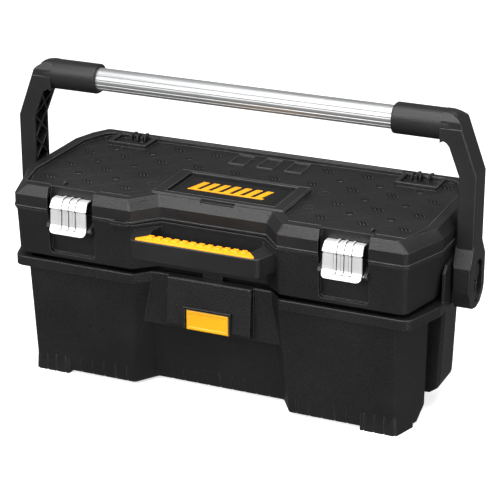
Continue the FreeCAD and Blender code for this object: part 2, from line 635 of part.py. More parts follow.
def make_badge():
    """A plain mark: slanted bars standing on one strip."""
    z0 = PLATE_Z + 2
    mark = [prism([(-58, -40, 0.5), (50, -40, 0.5), (52, -36, 0.5), (-56, -36, 0.5)], z0, z0 + 0.6)]
    for k in range(7):
        x = -56 + k * 15.5
        mark.append(prism([(x, -38, 0.4), (x + 9, -38, 0.4), (x + 17, -8, 0.4), (x + 8, -8, 0.4)],
                          z0, z0 + 0.6))
    return mark[0].fuse(mark[1:])


# ---------------------------------------------------------------- tray
def make_tray():
    x0, x1 = TRAY_X
    y0, y1 = TRAY_Y
    z0, z1 = TRAY_Z
    loop = [(x0, y0, 8), (x1, y0, 8), (x1, y1, 8), (x0, y1, 8)]
    tray = loft(inset(loop, 3), z0, loop, z1)
    tray = soften(tray, 2.5, lambda b: b.ZMax < z0 + 0.1)
    flange_z = CASE_LOW + WALL + 0.4
    rests = [box(x0 + 10, x1 - 10, -83.5, y0 + 3, flange_z, flange_z + 3),
             box(x0 + 10, x1 - 10, y1 - 3, 134, flange_z, flange_z + 3)]
    tray = tray.fuse(rests)
    hollow = loft(inset(loop, 5.5), z0 + 2.5, inset(loop, 2.5), z1 + 0.01)
    tray = tray.cut(hollow)
    bridge_y = (y0 + y1) / 2
    bridge = box(x0 + 1, x1 - 1, bridge_y - 9, bridge_y + 9, z1 - 4, z1)
    slot = box((x0 + x1) / 2 - 45, (x0 + x1) / 2 + 45, bridge_y - 5, bridge_y + 5, z1 - 6, z1 + 1)
    rail = bridge.cut(slot)
    rail = rail.common(loft(inset(loop, 3.5), z0, inset(loop, 0.5), z1))
    return tray.fuse(rail)


def make_divider(x):
    y0, y1 = TRAY_Y
    z0, z1 = TRAY_Z
    plate = box(x - 1, x + 1, y0 + 6.5, y1 - 6.5, z0 + 2.5, z1 - 6)
    return soften(plate, 0.8, lambda b: b.ZMin > z1 - 6.1)


save("tote_bin", make_bin())
save("release_button", make_button())
save("button_bezel", make_bezel())
save("button_spring", make_spring(3.0, 0.5, STEM_END + 0.6, POCKET_BACK - 0.6, sum(BUTTON_Z) / 2))

arm = make_arm()
save("handle_arm_right", arm)
save("handle_arm_left", mirrored(arm))
cap = make_cap()
save("pivot_cap_right", cap)
save("pivot_cap_left", mirrored(cap))
pin = make_pin()
save("pivot_pin_right", pin)
save("pivot_pin_left", mirrored(pin))
save("handle_tube", make_tube())
screw = make_tube_screw(232)
save("tube_screw_right", screw)
save("tube_screw_left", mirrored(screw))

save("case_base", make_case())
save("case_grip", make_grip())
save("case_catch", make_catch())
save("hinge_pin_left", make_hinge_pin(-1))
save("hinge_pin_right", make_hinge_pin(1))
latch_pin = make_latch_pin()
save("latch_pin_right", latch_pin)
save("latch_pin_left", mirrored(latch_pin))

save("lid_shell", make_lid())
save("nameplate", make_nameplate())
save("badge", make_badge())
keeper = make_keeper()
save("latch_keeper_right", keeper)
save("latch_keeper_left", mirrored(keeper))

latch = make_latch()
save("latch_right", latch)
save("latch_left", mirrored(latch))

save("half_tray", make_tray())
save("tray_divider", make_divider(-118))
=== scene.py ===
import bpy
import bmesh
import json
import math
from mathutils import Matrix, Vector


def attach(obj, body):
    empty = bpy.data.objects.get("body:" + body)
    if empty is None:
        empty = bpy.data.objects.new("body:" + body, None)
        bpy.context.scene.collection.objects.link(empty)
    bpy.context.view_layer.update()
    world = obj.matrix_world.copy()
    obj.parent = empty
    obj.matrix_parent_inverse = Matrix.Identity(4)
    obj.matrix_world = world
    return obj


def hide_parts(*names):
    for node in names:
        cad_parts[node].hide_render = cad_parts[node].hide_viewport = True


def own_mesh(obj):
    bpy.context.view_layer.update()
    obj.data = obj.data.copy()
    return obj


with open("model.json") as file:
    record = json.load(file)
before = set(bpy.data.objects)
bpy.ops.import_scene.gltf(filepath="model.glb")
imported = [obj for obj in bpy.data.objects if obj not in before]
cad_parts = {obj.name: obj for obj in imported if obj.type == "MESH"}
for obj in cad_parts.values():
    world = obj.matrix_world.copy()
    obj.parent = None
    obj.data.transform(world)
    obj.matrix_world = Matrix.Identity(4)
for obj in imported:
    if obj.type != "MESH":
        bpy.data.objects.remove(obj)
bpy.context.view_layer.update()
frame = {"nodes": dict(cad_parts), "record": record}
nodes = frame["nodes"]

# The lid's recessed field and the diamond order of what stands on it, in metres.
FIELD_Z = 0.2715
LID_TOP = 0.276
FRAME_TOP = 0.2775
DIAMOND_PITCH = 0.0567
DIAMOND_START = 0.0536
DIAMOND_CROSS_START = 0.0029
SLASH_X = 0.02825
SLASH_Y = (0.111, 0.054, -0.003, -0.059)
PAD_X = (0.113, 0.1695, 0.226)
PAD_Y = (0.082, 0.025, -0.031)
NAME_FRAME = (0.100, -0.078, 0.030)
HINGE_FRAME = (0.180, 0.250, 0.086)
ICON_FIELD = (0.060, 0.078)
SLASH_TURN = 37.0

# The grip tube's axis (y, z) and the button's travel, in metres.
TUBE_AXIS = (0.0135, 0.3934)
SLEEVE_R = 0.0199
SLEEVE_SQUARE = 2.5
SLEEVE_STEPS = 64
SLEEVE_STATIONS = ((0.2124, 0.90), (0.2126, 0.94), (0.2132, 0.975), (0.2142, 0.995), (0.2156, 1.0),
                   (0.2500, 1.0), (0.2860, 1.0), (0.2890, 0.99), (0.2920, 0.965), (0.2950, 0.92),
                   (0.2975, 0.86), (0.2995, 0.78), (0.3010, 0.68))

# The latch plate, in metres: its two ends, its pin (y, z), and its ribs' shares of the width.
LATCH_ENDS = (0.1668, 0.2221)
LATCH_PIN = (-0.118, 0.224)
RIB_SHARES = (0.33, 0.51, 0.70)


# ---------------------------------------------------------------- camera, floor and lights
def place_camera():
    data = bpy.data.cameras.new("camera")
    data.lens = 138.63
    data.sensor_width = 36.0
    data.clip_end = 20.0
    camera = bpy.data.objects.new("camera", data)
    camera.location = (0.9863, -2.2103, 1.1393)
    camera.rotation_euler = (math.radians(68.4242), 0.0, math.radians(23.7086))
    bpy.context.scene.collection.objects.link(camera)
    bpy.context.scene.camera = camera


def area_light(name, place, aim, size, power, colour=(1.0, 1.0, 1.0)):
    data = bpy.data.lights.new(name, "AREA")
    data.shape = "RECTANGLE"
    data.size, data.size_y = size
    data.energy = power
    data.color = colour
    lamp = bpy.data.objects.new(name, data)
    lamp.location = place
    lamp.rotation_euler = (Vector(aim) - Vector(place)).to_track_quat("-Z", "Y").to_euler()
    bpy.context.scene.collection.objects.link(lamp)
    return lamp


def light_studio():
    world = bpy.data.worlds.new("studio")
    world.use_nodes = True
    back = world.node_tree.nodes["Background"]
    back.inputs["Color"].default_value = (1.0, 1.0, 1.0, 1.0)
    back.inputs["Strength"].default_value = 0.18
    bpy.context.scene.world = world
    area_light("overhead softbox", (0.1, -0.3, 2.2), (0.0, 0.0, 0.2), (2.6, 1.8), 54.0)
    area_light("front top strip", (0.5, -1.3, 2.0), (0.0, 0.0, 0.2), (1.8, 0.35), 14.0)
    area_light("front softbox", (-0.6, -2.2, 1.3), (0.0, 0.0, 0.2), (2.6, 1.2), 52.0)
    area_light("left strip", (-1.9, -0.7, 1.0), (0.0, 0.0, 0.15), (0.35, 1.6), 7.0)
    area_light("low right strip", (1.35, -1.0, 0.3), (0.2, -0.05, 0.2), (0.9, 0.4), 7.0)
    area_light("right strip", (1.9, -0.2, 1.0), (0.1, 0.0, 0.15), (0.35, 1.6), 10.0)


def lay_floor():
    mesh = bpy.data.meshes.new("floor")
    mesh.from_pydata([(-9, -9, 0), (9, -9, 0), (9, 9, 0), (-9, 9, 0)], [], [(0, 1, 2, 3)])
    floor = bpy.data.objects.new("floor", mesh)
    bpy.context.scene.collection.objects.link(floor)
    material = bpy.data.materials.new("pale floor")
    material.use_nodes = True
    shader = material.node_tree.nodes["Principled BSDF"]
    shader.inputs["Base Color"].default_value = (0.86, 0.86, 0.86, 1.0)
    shader.inputs["Roughness"].default_value = 0.8
    shader.inputs["Specular IOR Level"].default_value = 0.1
    shader.inputs["Emission Color"].default_value = (1.0, 1.0, 1.0, 1.0)
    shader.inputs["Emission Strength"].default_value = 0.62
    mesh.materials.append(material)
    floor.visible_glossy = False
    floor.visible_diffuse = False


# ---------------------------------------------------------------- finishes
# Width of the edge band painted lighter, as painted highlight and wear.
EDGE_SHEEN_WIDTH = 0.0009


class Finish:
    """A material under construction, with short calls for the nodes that finishes share."""

    def __init__(self, name):
        self.material = bpy.data.materials.new(name)
        self.material.use_nodes = True
        self.tree = self.material.node_tree
        self.shader = self.tree.nodes["Principled BSDF"]
        self.place = self.add("ShaderNodeTexCoord").outputs["Object"]

    def add(self, kind, **settings):
        node = self.tree.nodes.new(kind)
        for key, value in settings.items():
            setattr(node, key, value)
        return node

    def join(self, source, target):
        self.tree.links.new(source, target)

    def noise(self, scale, detail=4.0, rough=0.55, stretch=None):
        node = self.add("ShaderNodeTexNoise")
        node.inputs["Scale"].default_value = scale
        node.inputs["Detail"].default_value = detail
        node.inputs["Roughness"].default_value = rough
        if stretch:
            mapping = self.add("ShaderNodeMapping")
            mapping.inputs["Scale"].default_value = stretch
            self.join(self.place, mapping.inputs["Vector"])
            self.join(mapping.outputs["Vector"], node.inputs["Vector"])
        else:
            self.join(self.place, node.inputs["Vector"])
        return node.outputs["Fac"]

    def span(self, source, low, high, new_low, new_high):
        node = self.add("ShaderNodeMapRange")
        node.inputs["From Min"].default_value = low
        node.inputs["From Max"].default_value = high
        node.inputs["To Min"].default_value = new_low
        node.inputs["To Max"].default_value = new_high
        self.join(source, node.inputs["Value"])
        return node.outputs["Result"]

    def tint(self, factor, dark, light):
        node = self.add("ShaderNodeMix", data_type="RGBA")
        node.inputs[6].default_value = (*dark, 1.0)
        node.inputs[7].default_value = (*light, 1.0)
        self.join(factor, node.inputs["Factor"])
        return node.outputs[2]

    def bump(self, height, strength, distance, under=None):
        node = self.add("ShaderNodeBump")
        node.inputs["Strength"].default_value = strength
        node.inputs["Distance"].default_value = distance
        self.join(height, node.inputs["Height"])
        if under is not None:
            self.join(under, node.inputs["Normal"])
        return node.outputs["Normal"]

    def edges(self, width):
        """Near 1 along sharp outer edges: the band that moulded_plastic paints lighter, as painted
        highlight and wear.
        """
        bevel = self.add("ShaderNodeBevel", samples=4)
        bevel.inputs["Radius"].default_value = width
        geometry = self.add("ShaderNodeNewGeometry")
        dot = self.add("ShaderNodeVectorMath", operation="DOT_PRODUCT")
        self.join(bevel.outputs["Normal"], dot.inputs[0])
        self.join(geometry.outputs["Normal"], dot.inputs[1])
        return self.span(dot.outputs["Value"], 0.99, 0.85, 0.0, 1.0), bevel.outputs["Normal"]


def moulded_plastic(name, dark, light, rough, grain, grain_depth, shine=0.3, edge_sheen_and_wear=None,
                    lattice=False, speckled=False):
    """Moulded plastic: fine grain, cloudy gloss, and edges painted lighter, partly wear and partly
    painted highlight.
    """
    f = Finish(name)
    cloud = f.noise(9.0, 5.0)
    skin = f.noise(grain, 3.0, 0.6)
    colour = f.tint(f.span(cloud, 0.35, 0.65, 0.0, 1.0), dark, light)
    if speckled:
        speckle = f.add("ShaderNodeMix", data_type="RGBA", blend_type="MULTIPLY")
        speckle.inputs["Factor"].default_value = 1.0
        f.join(colour, speckle.inputs[6])
        f.join(f.tint(f.span(skin, 0.35, 0.65, 0.0, 1.0), (0.72, 0.72, 0.72), (1.4, 1.4, 1.4)),
               speckle.inputs[7])
        colour = speckle.outputs[2]
    both = f.add("ShaderNodeMath", operation="ADD")
    f.join(f.span(cloud, 0.3, 0.7, rough - 0.05, rough + 0.04), both.inputs[0])
    f.join(f.span(skin, 0.35, 0.65, -0.06, 0.06), both.inputs[1])
    gloss = both.outputs[0]
    # The lighter edge colour, broken up by noise, is partly wear and partly a painted highlight
    # along the edges.
    if edge_sheen_and_wear:
        scuff_and_sheen_noise = f.noise(60.0, 6.0, 0.7, (1.0, 1.0, 0.25))
        rim, rounded = f.edges(EDGE_SHEEN_WIDTH)
        patch = f.add("ShaderNodeMath", operation="MULTIPLY")
        f.join(rim, patch.inputs[0])
        f.join(f.span(scuff_and_sheen_noise, 0.35, 0.6, 0.45, 1.0), patch.inputs[1])
        mix = f.add("ShaderNodeMix", data_type="RGBA")
        f.join(patch.outputs[0], mix.inputs["Factor"])
        f.join(colour, mix.inputs[6])
        mix.inputs[7].default_value = (*edge_sheen_and_wear, 1.0)
        colour = mix.outputs[2]
        normal = f.bump(skin, 0.55, grain_depth, rounded)
    else:
        normal = f.bump(skin, 0.55, grain_depth)
    if lattice:
        normal = f.bump(diamond_lines(f), 0.9, 0.0005, normal)
    f.join(colour, f.shader.inputs["Base Color"])
    f.join(gloss, f.shader.inputs["Roughness"])
    f.join(normal, f.shader.inputs["Normal"])
    f.shader.inputs["Specular IOR Level"].default_value = shine
    return f.material


def diamond_lines(f):
    """1 on the fine lines that divide the lid's field into diamonds, 0 elsewhere."""
    split = f.add("ShaderNodeSeparateXYZ")
    f.join(f.place, split.inputs[0])
    lines = []
    for operation, start in (("ADD", DIAMOND_START), ("SUBTRACT", DIAMOND_CROSS_START)):
        slant = f.add("ShaderNodeMath", operation=operation)
        f.join(split.outputs["X"], slant.inputs[0])
        f.join(split.outputs["Y"], slant.inputs[1])
        moved = f.add("ShaderNodeMath", operation="SUBTRACT")
        f.join(slant.outputs[0], moved.inputs[0])
        moved.inputs[1].default_value = start
        fold = f.add("ShaderNodeMath", operation="PINGPONG")
        f.join(moved.outputs[0], fold.inputs[0])
        fold.inputs[1].default_value = DIAMOND_PITCH / 2.0
        lines.append(f.span(fold.outputs[0], 0.0004, 0.0010, 1.0, 0.0))
    both = f.add("ShaderNodeMath", operation="MAXIMUM")
    f.join(lines[0], both.inputs[0])
    f.join(lines[1], both.inputs[1])
    low = f.span(split.outputs["Z"], FIELD_Z + 0.0003, FIELD_Z + 0.0005, 1.0, 0.0)
    high = f.span(split.outputs["Z"], FIELD_Z - 0.0005, FIELD_Z - 0.0003, 0.0, 1.0)
    level = f.add("ShaderNodeMath", operation="MULTIPLY")
    f.join(low, level.inputs[0])
    f.join(high, level.inputs[1])
    only_field = f.add("ShaderNodeMath", operation="MULTIPLY")
    f.join(both.outputs[0], only_field.inputs[0])
    f.join(level.outputs[0], only_field.inputs[1])
    return only_field.outputs[0]


def brushed_metal(name, colour, rough, stretch, scratch, metal=1.0, side_shade=None):
    """Metal with fine drawn lines; side_shade is painted shade that darkens faces turned sideways
    along x.
    """
    f = Finish(name)
    lines = f.noise(220.0, 3.0, 0.6, stretch)
    cloud = f.noise(14.0, 4.0)
    darker = tuple(c * 0.86 for c in colour)
    base = f.tint(f.span(cloud, 0.3, 0.7, 0.0, 1.0), darker, colour)
    # Painted shade: faces turned sideways along x are darkened by their direction.
    if side_shade:
        facing = f.add("ShaderNodeNewGeometry")
        split = f.add("ShaderNodeSeparateXYZ")
        f.join(facing.outputs["Normal"], split.inputs[0])
        level = f.add("ShaderNodeMath", operation="ABSOLUTE")
        f.join(split.outputs["X"], level.inputs[0])
        mix = f.add("ShaderNodeMix", data_type="RGBA")
        f.join(f.span(level.outputs[0], 0.2, 0.6, 0.0, 1.0), mix.inputs["Factor"])
        f.join(base, mix.inputs[6])
        mix.inputs[7].default_value = (*side_shade, 1.0)
        base = mix.outputs[2]
    f.join(base, f.shader.inputs["Base Color"])
    f.join(f.span(lines, 0.3, 0.7, rough - 0.06, rough + 0.08), f.shader.inputs["Roughness"])
    f.join(f.bump(lines, scratch, 0.0002), f.shader.inputs["Normal"])
    f.shader.inputs["Metallic"].default_value = metal
    return f.material


# Each plastic's last colour is its edge colour: painted highlight along the edges, partly wear.
BLACK = moulded_plastic("black textured plastic", (0.0065, 0.0065, 0.0068), (0.0095, 0.0095, 0.010),
                        0.42, 650.0, 0.0008, 0.5, (0.13, 0.13, 0.132),
                        speckled=True)
LID_BLACK = moulded_plastic("black lid plastic", (0.0065, 0.0065, 0.0068), (0.0095, 0.0095, 0.010),
                            0.42, 650.0, 0.0008, 0.5, (0.15, 0.15, 0.152),
                            lattice=True, speckled=True)
BLACK_FINE = moulded_plastic("black fine plastic", (0.003, 0.003, 0.0032), (0.005, 0.005, 0.0053),
                             0.3, 2600.0, 0.0001, 0.45, (0.04, 0.04, 0.042))
# Lighter black for the raised lid lines: a painted highlight along them.
LINE_HIGHLIGHT_BLACK = moulded_plastic("black lines painted highlight", (0.030, 0.030, 0.031), (0.055, 0.055, 0.056),
                             0.3, 1200.0, 0.0001, 0.6)
PLATE = moulded_plastic("gloss black plate", (0.003, 0.003, 0.0032), (0.0045, 0.0045, 0.005),
                        0.18, 900.0, 0.00005, 0.35)
YELLOW = moulded_plastic("yellow plastic", (0.93, 0.37, 0.006), (1.0, 0.42, 0.009),
                         0.4, 1800.0, 0.00012, 0.35, (1.0, 0.56, 0.06))
BUTTON_YELLOW = moulded_plastic("yellow button plastic", (1.0, 0.47, 0.010), (1.0, 0.54, 0.014),
                                0.36, 1800.0, 0.00012, 0.5, (1.0, 0.75, 0.25))
TRAY = moulded_plastic("tray plastic", (0.02, 0.02, 0.021), (0.03, 0.03, 0.032),
                       0.4, 1700.0, 0.0002, 0.35, (0.07, 0.07, 0.072))
# The latch's last colour is painted shade on its sideways-turned faces.
LATCH = brushed_metal("plated latch steel", (0.90, 0.90, 0.905), 0.34, (0.04, 1.0, 1.0), 0.05, 0.5,
                      (0.10, 0.10, 0.105))
TUBE = brushed_metal("extruded aluminium", (0.46, 0.465, 0.47), 0.38, (0.02, 1.0, 1.0), 0.05, 0.75)
ZINC = brushed_metal("zinc plated steel", (0.62, 0.63, 0.64), 0.33, (1.0, 1.0, 0.1), 0.12)

FINISHES = {
    "black_plastic": BLACK, "plate_black": PLATE, "yellow_plastic": YELLOW,
    "tray_plastic": TRAY, "latch_plate": LATCH, "tube_aluminium": TUBE, "steel": ZINC,
}


def dress(node_object, material):
    node_object.data.materials.clear()
    node_object.data.materials.append(material)


def dress_nodes():
    for row in frame["record"]["subparts"]:
        dress(nodes[row["node"]], FINISHES[row["material_slot"]])


# ---------------------------------------------------------------- pieces
def finish_piece(piece, body, material, replaced=()):
    dress(piece, material)
    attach(piece, body)
    for node in replaced:
        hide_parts(node)
    return piece


def place_mesh(name, mesh):
    piece = bpy.data.objects.new(name, mesh)
    bpy.context.scene.collection.objects.link(piece)
    return piece


def applied(piece, name):
    """Turn a piece's modifiers into plain mesh."""
    depsgraph = bpy.context.evaluated_depsgraph_get()
    done = bpy.data.meshes.new_from_object(piece.evaluated_get(depsgraph))
    piece.modifiers.clear()
    piece.data = done
    done.name = name
    return piece


def soft_edged(name, body, material, width, segments=3, angle=17.0, settle=None):
    """A copy of a moulding whose sharp edges are rounded over."""
    mesh = nodes[name].data.copy()
    tidy = bmesh.new()
    tidy.from_mesh(mesh)
    if settle:
        settle(tidy)
    bmesh.ops.remove_doubles(tidy, verts=tidy.verts, dist=0.000004)
    bmesh.ops.dissolve_limit(tidy, angle_limit=math.radians(0.6), verts=tidy.verts,
                             edges=tidy.edges, use_dissolve_boundaries=False)
    tidy.to_mesh(mesh)
    tidy.free()
    piece = place_mesh(name + "_moulding", mesh)
    bevel = piece.modifiers.new("rounded edges", "BEVEL")
    bevel.width = width
    bevel.segments = segments
    bevel.limit_method = "ANGLE"
    bevel.angle_limit = math.radians(angle)
    bevel.use_clamp_overlap = True
    bevel.miter_outer = "MITER_ARC"
    applied(piece, name + "_moulding")
    for face in piece.data.polygons:
        face.use_smooth = True
    piece.data.set_sharp_from_angle(angle=math.radians(26.0))
    even = piece.modifiers.new("even shading", "WEIGHTED_NORMAL")
    even.mode = "FACE_AREA"
    even.weight = 80
    even.keep_sharp = True
    applied(piece, name + "_moulding")
    return finish_piece(piece, body, material, [name])


def flatten_tread(tidy):
    """Lower the plain bars and pads of the field, which the moulded tread stands in for."""
    for vertex in tidy.verts:
        if abs(vertex.co.z - FIELD_Z - 0.001) < 0.00005:
            vertex.co.z = FIELD_Z


def mouldings():
    soft_edged("tote_bin", "tote", BLACK, 0.0008)
    soft_edged("button_bezel", "tote", BLACK, 0.0006)
    soft_edged("release_button", "button", BUTTON_YELLOW, 0.0009)
    soft_edged("case_base", "case", BLACK, 0.0007)
    soft_edged("case_grip", "case", YELLOW, 0.0006)
    soft_edged("lid_shell", "lid", LID_BLACK, 0.0007, settle=flatten_tread)
    for arm in ("handle_arm_left", "handle_arm_right"):
        soft_edged(arm, "carry_handle", BLACK, 0.0008)
    collar_sleeve("collar_sleeve_left", -1)
    collar_sleeve("collar_sleeve_right", 1)


def collar_sleeve(name, side):
    """The collar's rounded skin, from its lip on the grip tube to the arm's shoulder."""
    mesh = bmesh.new()
    rings = []
    for x, share in SLEEVE_STATIONS:
        ring = []
        for k in range(SLEEVE_STEPS):
            angle = 2.0 * math.pi * k / SLEEVE_STEPS
            across, up = math.cos(angle), math.sin(angle)
            power = abs(across) ** SLEEVE_SQUARE + abs(up) ** SLEEVE_SQUARE
            radius = SLEEVE_R * share / power ** (1.0 / SLEEVE_SQUARE)
            ring.append(mesh.verts.new((side * x, TUBE_AXIS[0] + radius * across,
                                        TUBE_AXIS[1] + radius * up)))
        rings.append(ring)
    for first, second in zip(rings, rings[1:]):
        for k in range(SLEEVE_STEPS):
            after = (k + 1) % SLEEVE_STEPS
            mesh.faces.new((first[k], first[after], second[after], second[k]))
    mesh.faces.new(rings[0])
    mesh.faces.new(list(reversed(rings[-1])))
    bmesh.ops.recalc_face_normals(mesh, faces=mesh.faces)
    data = bpy.data.meshes.new(name)
    mesh.to_mesh(data)
    mesh.free()
    for face in data.polygons:
        face.use_smooth = len(face.vertices) == 4
    finish_piece(place_mesh(name, data), "carry_handle", BLACK)


def button_coil():
    """The spring behind the button, copied from its node as it stands."""
    mesh = nodes["button_spring"].data.copy()
    tidy = bmesh.new()
    tidy.from_mesh(mesh)
    bmesh.ops.remove_doubles(tidy, verts=tidy.verts, dist=0.000004)
    tidy.to_mesh(mesh)
    tidy.free()
    coil = place_mesh("button_coil", mesh)
    finish_piece(coil, "tote", ZINC, ["button_spring"])
    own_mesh(coil)


# ---------------------------------------------------------------- tread of the lid
def loaf(name, half_long, half_wide, high, turn, shift, sections=14, arcs=8, squareness=4.0):
    """A low rounded bar standing on the field, turned about the vertical."""
    mesh = bmesh.new()
    rings = []
    for i in range(sections + 1):
        share = -1.0 + 2.0 * i / sections
        narrow = max(0.04, (1.0 - abs(share) ** squareness) ** (1.0 / squareness))
        ring = []
        for j in range(arcs + 1):
            angle = math.pi * j / arcs
            across = half_wide * narrow * math.cos(angle)
            up = high * narrow * min(1.0, 1.35 * math.sin(angle))
            ring.append(mesh.verts.new((share * half_long, across, up)))
        rings.append(ring)
    for first, second in zip(rings, rings[1:]):
        for j in range(arcs):
            mesh.faces.new((first[j], second[j], second[j + 1], first[j + 1]))
        mesh.faces.new((first[0], first[arcs], second[arcs], second[0]))
    mesh.faces.new(rings[0])
    mesh.faces.new(list(reversed(rings[-1])))
    bmesh.ops.recalc_face_normals(mesh, faces=mesh.faces)
    bmesh.ops.rotate(mesh, verts=mesh.verts, cent=(0, 0, 0),
                     matrix=Matrix.Rotation(math.radians(turn), 3, "Z"))
    bmesh.ops.translate(mesh, verts=mesh.verts, vec=shift)
    data = bpy.data.meshes.new(name)
    mesh.to_mesh(data)
    mesh.free()
    for face in data.polygons:
        face.use_smooth = True
    return data


def joined(name, meshes):
    whole = bmesh.new()
    for mesh in meshes:
        whole.from_mesh(mesh)
    data = bpy.data.meshes.new(name)
    whole.to_mesh(data)
    whole.free()
    return data


def seat_group(name):
    """Geometry Nodes: one form on every point, in slightly varied sizes, as plain mesh."""
    group = bpy.data.node_groups.new(name, "GeometryNodeTree")
    face = group.interface
    face.new_socket("Geometry", in_out="INPUT", socket_type="NodeSocketGeometry")
    face.new_socket("Form", in_out="INPUT", socket_type="NodeSocketObject")
    face.new_socket("Smallest", in_out="INPUT", socket_type="NodeSocketFloat")
    face.new_socket("Largest", in_out="INPUT", socket_type="NodeSocketFloat")
    face.new_socket("Seed", in_out="INPUT", socket_type="NodeSocketInt")
    face.new_socket("Finish", in_out="INPUT", socket_type="NodeSocketMaterial")
    face.new_socket("Geometry", in_out="OUTPUT", socket_type="NodeSocketGeometry")
    entry = group.nodes.new("NodeGroupInput")
    leave = group.nodes.new("NodeGroupOutput")
    form = group.nodes.new("GeometryNodeObjectInfo")
    size = group.nodes.new("FunctionNodeRandomValue")
    seat = group.nodes.new("GeometryNodeInstanceOnPoints")
    real = group.nodes.new("GeometryNodeRealizeInstances")
    paint = group.nodes.new("GeometryNodeSetMaterial")
    size.data_type = "FLOAT"
    link = group.links.new
    link(entry.outputs["Form"], form.inputs["Object"])
    link(entry.outputs["Smallest"], size.inputs[2])
    link(entry.outputs["Largest"], size.inputs[3])
    link(entry.outputs["Seed"], size.inputs["Seed"])
    link(entry.outputs["Geometry"], seat.inputs["Points"])
    link(form.outputs["Geometry"], seat.inputs["Instance"])
    link(size.outputs[1], seat.inputs["Scale"])
    link(seat.outputs["Instances"], real.inputs["Geometry"])
    link(real.outputs["Geometry"], paint.inputs["Geometry"])
    link(entry.outputs["Finish"], paint.inputs["Material"])
    link(paint.outputs["Geometry"], leave.inputs["Geometry"])
    return group


def seated(name, group, form_mesh, places, body, material, spread, seed):
    points = bpy.data.meshes.new(name + "_places")
    points.from_pydata(places, [], [])
    piece = place_mesh(name, points)
    form = bpy.data.objects.new(name + "_form", form_mesh)
    bpy.context.scene.collection.objects.link(form)
    nodes_here = piece.modifiers.new("seats", "NODES")
    nodes_here.node_group = group
    values = {"Form": form, "Smallest": 1.0 - spread, "Largest": 1.0 + spread, "Seed": seed,
              "Finish": material}
    for socket in group.interface.items_tree:
        if socket.in_out == "INPUT" and socket.name in values:
            nodes_here[socket.identifier] = values[socket.name]
    applied(piece, name)
    bpy.data.objects.remove(form)
    return finish_piece(piece, body, material)


def in_field(x, y):
    """Whether a spot on the field is clear of the name frame, hinge frames and icons."""
    side = abs(x)
    corner_room = side * 0.9 + abs(y - 0.012) < 0.345
    clear_name = not (side < NAME_FRAME[0] + 0.014 and NAME_FRAME[1] < y < NAME_FRAME[2])
    clear_hinge = not (HINGE_FRAME[0] < side < HINGE_FRAME[1] and y > HINGE_FRAME[2])
    clear_icons = not (side < ICON_FIELD[0] and y > ICON_FIELD[1])
    return side < 0.272 and corner_room and clear_name and clear_hinge and clear_icons


def tread():
    group = seat_group("seats on points")
    strokes = []
    for shift, half in ((-0.0052, 0.0078), (0.0, 0.0078), (0.0052, 0.0066)):
        strokes.append(loaf("stroke", half, 0.00125, 0.0020, -SLASH_TURN - 15.0, (shift, 0, 0)))
    slashes = [(side * k * SLASH_X, y, FIELD_Z - 0.0002)
               for side in (-1, 1) for k in (1, 3, 5, 7, 9) for y in SLASH_Y
               if in_field(k * SLASH_X, y)]
    seated("lid_slashes", group, joined("slash", strokes), slashes, "lid",
           BLACK, 0.0, 3)
    pad = loaf("pad", 0.0078, 0.0056, 0.0018, -58.0, (0, 0, 0), 16, 16, 2.4)
    pads = [(side * x, y, FIELD_Z - 0.0002) for side in (-1, 1) for x in PAD_X for y in PAD_Y
            if in_field(x, y)]
    seated("lid_pads", group, pad, pads, "lid", BLACK_FINE, 0.02, 5)


def bead(mesh, points, z, wide, high, closed):
    """A thin ridge with sloped sides along a bent line, added to a mesh under construction."""
    count = len(points)
    rings = []
    for i, (x, y) in enumerate(points):
        before = points[(i - 1) % count] if closed or i else points[i]
        after = points[(i + 1) % count] if closed or i < count - 1 else points[i]
        run_in = Vector((x - before[0], y - before[1]))
        run_out = Vector((after[0] - x, after[1] - y))
        ahead = [run.normalized() for run in (run_in, run_out) if run.length > 0]
        mean = sum(ahead, Vector((0.0, 0.0))).normalized()
        across = Vector((-mean.y, mean.x))
        stretch = 1.0 / max(0.4, mean.dot(ahead[0]))
        ring = []
        for share, up in ((-0.5, -0.3), (-0.42, 0.55), (-0.2, 1.0), (0.2, 1.0), (0.42, 0.55),
                          (0.5, -0.3)):
            spot = across * (share * wide * stretch)
            ring.append(mesh.verts.new((x + spot.x, y + spot.y, z + up * high)))
        rings.append(ring)
    pairs = list(zip(rings, rings[1:]))
    if closed:
        pairs.append((rings[-1], rings[0]))
    for first, second in pairs:
        for j in range(6):
            after = (j + 1) % 6
            mesh.faces.new((first[j], second[j], second[after], first[after]))
    if not closed:
        mesh.faces.new(rings[0])
        mesh.faces.new(list(reversed(rings[-1])))


def both_ways(points):
    return [points, [(-x, y) for x, y in points]]


